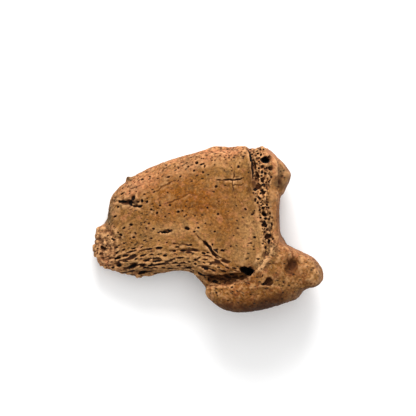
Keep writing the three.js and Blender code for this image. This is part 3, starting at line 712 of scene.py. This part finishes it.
colouring = {
    "fold": (-4, -1.5),  # mm from the mid plane, below which loose patches take over from the placed ones
    "looseSize": 7, "looseMost": 0.7, "strayEdge": 0.6, "straySize": 2.2,  # sizes in mm
    "paintedBackLight": 0.6,  # painted light on skin that faces the claw's back, towards the key lamp
    "paintedPlateShade": 0.6, "paintedPlateShadeChange": 0.25, "paintedPlateShadeSize": 2.6,  # painted shade on the plate's skin that faces the other way
    "leastCoarse": 0.15, "lipCoarse": 0.5, "lipReach": 0.9, "patchCoarse": 0.45,
}
# how coarse each zone's surface is, and two patches that are coarser than their zone
coarseness = {"crest": 1, "knob": 1, "sole": 0.75, "back": 0.7, "plate": 0.4, "joint": 0.25}
coarsePatches = [(-13.5, 4, 7, 5, 15, 1), (15.6, 12, 1.4, 3, 20, 0.8)]


def paintColour(mesh):
    # soft patches of colour on the upper side, and loose ones of the same kinds underneath
    points = readPoints(mesh)
    x, y, side = planSpots(points)
    zones = zoneWeights(x, y, side)
    under = 1 - ease(*colouring["fold"], side)
    for number, (name, spots) in enumerate(patches.items()):
        loose = ease(0.15, 0.6, softNoise(points, colouring["looseSize"], 50 + number))
        loose *= colouring["looseMost"]
        edge = colouring["strayEdge"] * softNoise(points, colouring["straySize"], 60 + number)
        placed = np.clip(patchWeight(x + edge, y + edge, spots), 0, 1)
        addAttribute(mesh, name, placed * (1 - under) + loose * under)
    normals = readNormals(mesh)
    # painted shade: brown laid on the plate's skin that faces away from the key lamp, stronger in places
    paintedPlateShade = colouring["paintedPlateShade"] + colouring["paintedPlateShadeChange"] * softNoise(points, colouring["paintedPlateShadeSize"], 70)
    paintedPlateShade = ease(0.35, 0.95, -normals[:, 1]) * zones["plate"] * paintedPlateShade
    # painted light: pink laid on skin that faces the claw's back, towards the key lamp
    paintedBackLight = colouring["paintedBackLight"] * ease(0.3, 0.95, normals[:, 1])
    for name, weight in (("brown", paintedPlateShade), ("pink", paintedBackLight)):
        layer = mesh.attributes[name].data
        values = np.empty(len(points), dtype=np.float32)
        layer.foreach_get("value", values)
        layer.foreach_set("value", np.maximum(values, weight).astype(np.float32))
    addAttribute(mesh, "plate", zones["plate"])
    lipGap, _ = lineGap(x, y, ridges["plate lip"][0])
    lipCoarse = colouring["lipCoarse"] * np.exp(-(lipGap / colouring["lipReach"]) ** 2)
    coarse = colouring["leastCoarse"] + lipCoarse
    coarse += sum(zones[zone] * weight for zone, weight in coarseness.items())
    coarse += colouring["patchCoarse"] * patchWeight(x, y, coarsePatches)
    addAttribute(mesh, "coarse", np.clip(coarse, 0, 1))
    rotted = patchWeight(x, y, [worn["rotted hollow"][0]]) * (side > 0)
    crumbled = zones["crest"] + 0.8 * zones["knob"] + 0.5 * rotted + 0.7 * np.exp(-(lipGap / 0.8) ** 2)
    addAttribute(mesh, "crumbled", np.clip(crumbled, 0, 1))
    grain = np.column_stack([x, grainAcross(x, y), side])
    layer = mesh.attributes.new("grain", "FLOAT_VECTOR", "POINT")
    layer.data.foreach_set("vector", grain.astype(np.float32).ravel())
    print("colours painted")


# ---- finishing the mesh ----

# fine roughness in mm, all over and more by zone
roughness = {"bone": 0.012, "plate": 0.02, "crest": 0.02, "knob": 0.02, "sole": 0.012}


def roughen(mesh):
    points = readPoints(mesh)
    normals = readNormals(mesh)
    zones = zoneWeights(*planSpots(points))
    zones["bone"] = 1
    rough = sum(zones[zone] * height for zone, height in roughness.items())
    rise = rough * (softNoise(points, 0.42, 31) + 0.7 * softNoise(points, 0.23, 32))
    points += normals * rise[:, None]
    low, high = (np.array(corner) / mm for corner in cadBox)
    writePoints(mesh, np.clip(points, low, high))  # never past the solid's own box, nor under the table


def thin(piece, triangles):
    faces = sum(len(p.vertices) - 2 for p in piece.data.polygons)
    applyModifier(piece, "DECIMATE", ratio=min(1, triangles / faces), use_collapse_triangulate=True)


def dropSpecks(mesh):
    # the remesh leaves specks a few hundredths of a millimetre across, so only what joins the top is kept
    shell = bmesh.new()
    shell.from_mesh(mesh)
    joined = [max(shell.verts, key=lambda vert: vert.co.z)]
    seen = set(joined)
    for vert in joined:
        for edge in vert.link_edges:
            other = edge.other_vert(vert)
            if other not in seen:
                seen.add(other)
                joined.append(other)
    specks = [vert for vert in shell.verts if vert not in seen]
    bmesh.ops.delete(shell, geom=specks, context="VERTS")
    shell.to_mesh(mesh)
    shell.free()
    print("specks dropped:", len(specks), "vertices")


openSky = {"rays": 14, "seed": 77, "reach": 1.6, "lift": 0.02, "spread": 1.05}  # reach and lift in mm


def shutIn(mesh):
    # how much of the open sky over each point is blocked by bone close by, from 0 to 1, later painted as
    # shade in the colour
    points = readPoints(mesh)
    normals = readNormals(mesh)
    mesh.calc_loop_triangles()
    faces = [tuple(t.vertices) for t in mesh.loop_triangles]
    tree = BVHTree.FromPolygons([Vector(p) for p in points], faces)
    draw = np.random.default_rng(openSky["seed"])
    rays = draw.normal(size=(openSky["rays"], 3))
    rays /= np.linalg.norm(rays, axis=1)[:, None]
    blocked = np.zeros(len(points))
    for i, (point, normal) in enumerate(zip(points, normals)):
        start = Vector(point + normal * openSky["lift"])
        for ray in rays:
            way = Vector(ray + normal * openSky["spread"])
            hit = tree.ray_cast(start, way, openSky["reach"])[3]
            if hit is not None:
                blocked[i] += 1 - hit / openSky["reach"]
    return blocked / len(rays)


# hollows whose floors catch the light, so less shade is painted there: patches as above
litHollows = [(13.3, -10.7, 0.9, 0.9, 0, 0.68), (13.3, 15.4, 0.9, 0.7, 45, 0.7),
              (9.6, 9.4, 1.3, 0.9, -75, 0.6), (13.6, 2, 1.2, 8, 0, 0.35), (-21.5, -3, 2, 4, 0, 0.35)]
fullPoreShade, fullProud = 0.5, 0.02  # the depth and the rise in mm that count as 1


def paintForm(mesh, found):
    # how shut in each point is and how deep it lies in a pore or crack, both painted as shade, and how proud
    # it stands of its neighbours, painted as a highlight on edges and as shade in creases
    points = readPoints(mesh)
    normals = readNormals(mesh)
    ends, counts = edgeEnds(mesh)
    hollow = neighbourMean(shutIn(mesh)[:, None], ends, counts)[:, 0]
    # painted shade in pores, cracks and slits, darker the deeper a point lies in them
    poreShade, _ = poreDips(points, normals, found, edges["poreShadeFacing"])
    x, y, side = planSpots(points)
    shade = 1 - patchWeight(x, y, litHollows) * (side > 0)
    # painted highlight where skin stands proud of its neighbours, painted shade where it lies below them
    proud = ((points - neighbourMean(points, ends, counts)) * normals).sum(axis=1)
    for _ in range(2):
        proud = (proud + neighbourMean(proud[:, None], ends, counts)[:, 0]) / 2
    addAttribute(mesh, "hollow", hollow * shade)
    addAttribute(mesh, "poreShade", np.clip(poreShade / fullPoreShade * shade, 0, 1))
    addAttribute(mesh, "proud", proud / fullProud)
    print("hollows and edges painted")


def edgeEnds(mesh):
    ends = np.empty(len(mesh.edges) * 2, dtype=np.int32)
    mesh.edges.foreach_get("vertices", ends)
    return ends.reshape(-1, 2), np.bincount(ends, minlength=len(mesh.vertices))


def neighbourMean(values, ends, counts):
    both, far = ends.T.ravel(), ends.T[::-1].ravel()
    totals = [np.bincount(both, weights=column[far], minlength=len(values)) for column in values.T]
    return np.column_stack(totals) / np.maximum(counts, 1)[:, None]


def addAttribute(mesh, name, values):
    layer = mesh.attributes.new(name, "FLOAT", "POINT")
    layer.data.foreach_set("value", values.astype(np.float32))


def makeBone():
    piece = makeSkin(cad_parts["claw_bone"])
    print("skin:", len(piece.data.polygons), "faces")
    remesh(piece, skin["fineVoxel"])
    found = cutPores(piece)
    remesh(piece, skin["fineVoxel"])
    soften(piece, *skin["fineSmooth"])
    roughen(piece.data)
    print("fine skin:", len(piece.data.polygons), "faces")
    thin(piece, skin["triangles"])
    dropSpecks(piece.data)
    paintForm(piece.data, found)
    paintColour(piece.data)
    piece.data.transform(Matrix.Scale(mm, 4))
    for polygon in piece.data.polygons:
        polygon.use_smooth = True
    print("bone:", len(piece.data.polygons), "triangles")
    return piece


# ---- materials ----

def addNode(tree, kind, sockets=None, **settings):
    # a socket takes a value, a hex colour, another socket, or a node for that node's first output
    node = tree.nodes.new("ShaderNode" + kind)
    for name, value in settings.items():
        setattr(node, name, value)
    for name, value in (sockets or {}).items():
        if isinstance(value, bpy.types.Node):
            value = value.outputs[0]
        if isinstance(value, bpy.types.NodeSocket):
            tree.links.new(value, node.inputs[name])
        else:
            node.inputs[name].default_value = linear(value) if isinstance(value, str) else value
    return node


def newMaterial(name):
    material = bpy.data.materials.new(name)
    material.use_nodes = True
    material.node_tree.nodes.clear()
    return material, material.node_tree


fossil = {
    "tan": "#875E30",  # light yellow brown, most of the bone
    "ochre": "#724A1B",  # darker brown that clouds it
    "orange": "#7A4303",  # iron stain, burnt orange
    "pink": "#B1724C",  # dry bone, pinkish, and painted highlight along the claw's back and its ridges
    "pale": "#A77C4D",  # worn bone, sand
    "grey": "#594E35",  # crumbled bone, grey green
    "brown": "#351804",  # soil brown, and painted shade in the recess under the blade's lower rim, in the cleft and along the plate's lower edge
    "pore": "#0A0402",  # almost black
    "poreLip": "#41200B",  # dark reddish brown round each pore, also painted shade in hollows and creases
    "crumb": "#CC9967",  # bright grains, and painted highlight on edges
    "rust": "#663110",  # red brown blotches on the sole plate
    "crumbSize": 0.44, "relief": 0.12,  # mm
    "roughness": 0.72, "gloss": 0.15, "refraction": 1.5,  # an old, porous surface hardly mirrors
}
# its marks: how far across in mm, detail, roughness and distortion
marks = {
    "cloud": (3.8, 5, 0.6, 0), "patchEdge": (1.3, 6, 0.65, 0), "blush": (1.6, 3, 0.6, 0.5),
    "blotch": (1.1, 3, 0.7, 0), "grain": (0.5, 4, 0.7, 0), "fleck": (0.36, 2, 0.6, 0),
    "stray": (0.6, 2, 0.5, 0), "sand": (0.32, 5, 0.65, 0),
}


def makeFossil():
    # fossil bone: mineral stained, dry and porous, so matt, with painted shade in every hollow, pore and
    # crease and a painted highlight on its edges
    material, tree = newMaterial("fossil bone")
    metres = addNode(tree, "TexCoord").outputs["Object"]
    place = addNode(tree, "VectorMath", {0: metres, "Scale": 1 / mm}, operation="SCALE")
    names = ("coarse", "crumbled", "plate", "hollow", "poreShade", "proud",
             "orange", "pink", "pale", "grey", "brown")
    share = {name: addNode(tree, "Attribute", attribute_name=name).outputs["Fac"] for name in names}
    run = addNode(tree, "Attribute", attribute_name="grain").outputs["Vector"]
    noise = {name: addNode(tree, "TexNoise", {"Vector": place, "Scale": 1 / size, "Detail": detail,
                                              "Roughness": rough, "Distortion": bent})
             for name, (size, detail, rough, bent) in marks.items()}
    coats = []  # laid over the tan in turn: how much, and a colour that covers or a tone that multiplies

    # clouds of light and dark, and patches with broken edges
    cloudy = addNode(tree, "MapRange", {"Value": noise["cloud"], "From Min": 0.38, "From Max": 0.62})
    coats.append((cloudy, fossil["ochre"]))
    broken = addNode(tree, "MapRange", {"Value": noise["patchEdge"], "From Min": 0.34, "From Max": 0.62,
                                        "To Min": 0.45, "To Max": 1.2})
    for name in ("pale", "pink", "orange", "grey"):
        amount = addNode(tree, "Math", {0: share[name], 1: broken}, operation="MULTIPLY", use_clamp=True)
        coats.append((amount, fossil[name]))

    # blushes of pink and grey green
    for name, low, high, most in (("pink", 0.52, 0.7, 0.5), ("grey", 0.44, 0.28, 0.35)):
        amount = addNode(tree, "MapRange", {"Value": noise["blush"], "From Min": low, "From Max": high,
                                            "To Max": most})
        coats.append((amount, fossil[name]))

    # red brown blotches on the sole plate, and soil brown with painted shade over all of these
    amount = addNode(tree, "MapRange", {"Value": noise["blotch"], "From Min": 0.5, "From Max": 0.62,
                                        "To Max": 0.7})
    amount = addNode(tree, "Math", {0: amount, 1: share["plate"]}, operation="MULTIPLY")
    coats += [(amount, fossil["rust"]), (share["brown"], fossil["brown"])]

    # light and dark grains, stronger where the bone is coarse
    tone = addNode(tree, "MapRange", {"Value": noise["grain"], "From Min": 0.3, "From Max": 0.7,
                                      "To Min": 0.36, "To Max": 1.58})
    amount = addNode(tree, "MapRange", {"Value": share["coarse"], "To Min": 0.8, "To Max": 1.0})
    coats.append((amount, tone))

    # pale flecks, where no soil brown or painted shade covers them
    unbrowned = addNode(tree, "MapRange", {"Value": share["brown"], "From Max": 0.6, "To Min": 1.0,
                                       "To Max": 0.1})
    flecks = addNode(tree, "MapRange", {"Value": noise["fleck"], "From Min": 0.56, "From Max": 0.7,
                                        "To Max": 0.42})
    amount = addNode(tree, "MapRange", {"Value": share["coarse"], "From Max": 0.8, "To Min": 0.4,
                                        "To Max": 1.0})
    for part in (flecks, unbrowned):
        amount = addNode(tree, "Math", {0: part, 1: amount}, operation="MULTIPLY")
    coats.append((amount, fossil["crumb"]))

    # fibres along the bone's own grain, about half a millimetre apart
    thread = addNode(tree, "VectorMath", {0: run, 1: (0.6, 1.2, 0.9)}, operation="MULTIPLY")
    fibres = addNode(tree, "TexNoise", {"Vector": thread, "Scale": 1.8, "Detail": 3, "Roughness": 0.6,
                                        "Distortion": 0.6})
    dark = addNode(tree, "MapRange", {"Value": fibres, "From Min": 0.5, "From Max": 0.64, "To Max": 0.5})
    coats.append((dark, fossil["poreLip"]))

    # pinholes about 0.3 mm wide and 0.6 mm long, more of them where the bone is coarse
    dashes = addNode(tree, "VectorMath", {0: thread, 1: (1.4, 1.4, 1.4)}, operation="MULTIPLY")
    cells = addNode(tree, "TexVoronoi", {"Vector": dashes, "Scale": 1})
    dot = addNode(tree, "MapRange", {"Value": cells, "From Min": 0.32, "From Max": 0.16})
    pick = addNode(tree, "SeparateColor", {"Color": cells.outputs["Color"]})
    pick = addNode(tree, "Math", {0: pick, 1: share["coarse"]}, operation="LESS_THAN")
    pinholes = addNode(tree, "Math", {0: dot, 1: pick}, operation="MULTIPLY")
    amount = addNode(tree, "Math", {0: pinholes, 1: 0.85}, operation="MULTIPLY")
    coats.append((amount, fossil["pore"]))

    # loose crumbs with darker gaps between them, where the bone has rotted
    stray = addNode(tree, "VectorMath", {0: noise["stray"].outputs["Color"], "Scale": 0.7}, operation="SCALE")
    stray = addNode(tree, "VectorMath", {0: place, 1: stray}, operation="ADD")
    crumbs = addNode(tree, "TexVoronoi", {"Vector": stray, "Scale": 1 / fossil["crumbSize"]})
    gap = addNode(tree, "MapRange", {"Value": crumbs, "From Min": 0.42, "From Max": 0.66, "To Max": 0.75})
    gap = addNode(tree, "Math", {0: gap, 1: share["crumbled"]}, operation="MULTIPLY")
    tone = addNode(tree, "SeparateColor", {"Color": crumbs.outputs["Color"]}).outputs["Green"]
    tone = addNode(tree, "MapRange", {"Value": tone, "To Min": 0.85, "To Max": 1.75})
    coats += [(share["crumbled"], tone), (gap, fossil["poreLip"])]

    # painted highlight on edges where no brown covers them, painted shade in creases, then painted shade in
    # the hollows and deeper in pores and cracks
    formCoats = [("proud", 0.2, 1.2, 0.72, "crumb"), ("proud", -0.2, -1.2, 0.65, "poreLip"),
                 ("hollow", 0.06, 0.3, 1, "poreLip"), ("hollow", 0.25, 0.6, 1, "pore"),
                 ("poreShade", 0.08, 0.4, 1, "poreLip"), ("poreShade", 0.3, 0.8, 1, "pore")]
    for name, low, high, most, over in formCoats:
        amount = addNode(tree, "MapRange", {"Value": share[name], "From Min": low, "From Max": high,
                                            "To Max": most})
        if over == "crumb":
            amount = addNode(tree, "Math", {0: amount, 1: unbrowned}, operation="MULTIPLY")
        coats.append((amount, fossil[over]))

    colour = fossil["tan"]
    for amount, over in coats:
        blend = "MIX" if isinstance(over, str) else "MULTIPLY"
        mix = addNode(tree, "Mix", {"Factor": amount, "A": colour, "B": over}, data_type="RGBA",
                      blend_type=blend)
        colour = mix.outputs["Result"]

    # relief too fine for the mesh
    height = noise["sand"]
    for other, operation in ((share["coarse"], "MULTIPLY"), (pinholes, "SUBTRACT"), (gap, "SUBTRACT")):
        height = addNode(tree, "Math", {0: height, 1: other}, operation=operation)
    bump = addNode(tree, "Bump", {"Height": height, "Strength": 0.9, "Distance": fossil["relief"] * mm})
    dull = addNode(tree, "MapRange", {"Value": broken, "To Min": fossil["roughness"] - 0.08,
                                      "To Max": fossil["roughness"] + 0.12})
    shader = addNode(tree, "BsdfPrincipled", {
        "Base Color": colour, "Roughness": dull, "Normal": bump, "IOR": fossil["refraction"],
        "Specular IOR Level": fossil["gloss"]})
    addNode(tree, "OutputMaterial", {"Surface": shader})
    return material


claw = makeBone()
claw.data.materials.clear()
claw.data.materials.append(makeFossil())
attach(claw, "root")
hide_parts("claw_bone")


# ---- table, light and camera ----

studio = {
    "tableSize": 3.0,
    "skyStrength": 0.60,
    "boxPlace": (0.0, 0.05, 0.45), "boxSize": 0.6, "boxPower": 1.22,
    "keyPlace": (0.01, 0.30, 0.20), "keySize": 0.20, "keyPower": 1.48,
    "viewWidth": 0.08736,  # what the camera takes in at the bone's mid height
    "viewMiddle": (0.00003, 0.004455, 0.0078),
    "cameraHeight": 0.9,
}


def makeTable():
    grid = bmesh.new()
    bmesh.ops.create_grid(grid, x_segments=1, y_segments=1, size=studio["tableSize"] / 2)
    mesh = bpy.data.meshes.new("table")
    grid.to_mesh(mesh)
    grid.free()
    material, tree = newMaterial("white matt board")
    shader = addNode(tree, "BsdfPrincipled", {"Base Color": "#F7F7F7", "Roughness": 0.9})
    addNode(tree, "OutputMaterial", {"Surface": shader})
    mesh.materials.append(material)
    table = addObject("table", mesh)


def makeLight():
    world = bpy.data.worlds.new("studio")
    bpy.context.scene.world = world
    world.use_nodes = True
    sky = world.node_tree.nodes["Background"]
    sky.inputs["Color"].default_value = (1, 1, 1, 1)
    sky.inputs["Strength"].default_value = studio["skyStrength"]
    for name in ("box", "key"):
        lamp = bpy.data.lights.new(name, "AREA")
        lamp.energy = studio[name + "Power"]
        lamp.size = studio[name + "Size"]
        light = bpy.data.objects.new(name, lamp)
        bpy.context.scene.collection.objects.link(light)
        light.location = studio[name + "Place"]
        light.rotation_euler = (-light.location).to_track_quat("-Z", "Y").to_euler()


def makeCamera():
    lens = bpy.data.cameras.new("camera")
    camera = bpy.data.objects.new("camera", lens)
    bpy.context.scene.collection.objects.link(camera)
    bpy.context.scene.camera = camera
    middle = Vector(studio["viewMiddle"])
    camera.location = middle + up * studio["cameraHeight"]
    lens.sensor_width = 36
    lens.lens = lens.sensor_width * studio["cameraHeight"] / studio["viewWidth"]
    lens.clip_start = 0.01
    lens.clip_end = 10


makeTable()
makeLight()
makeCamera()
bpy.context.scene.view_settings.view_transform = "Standard"
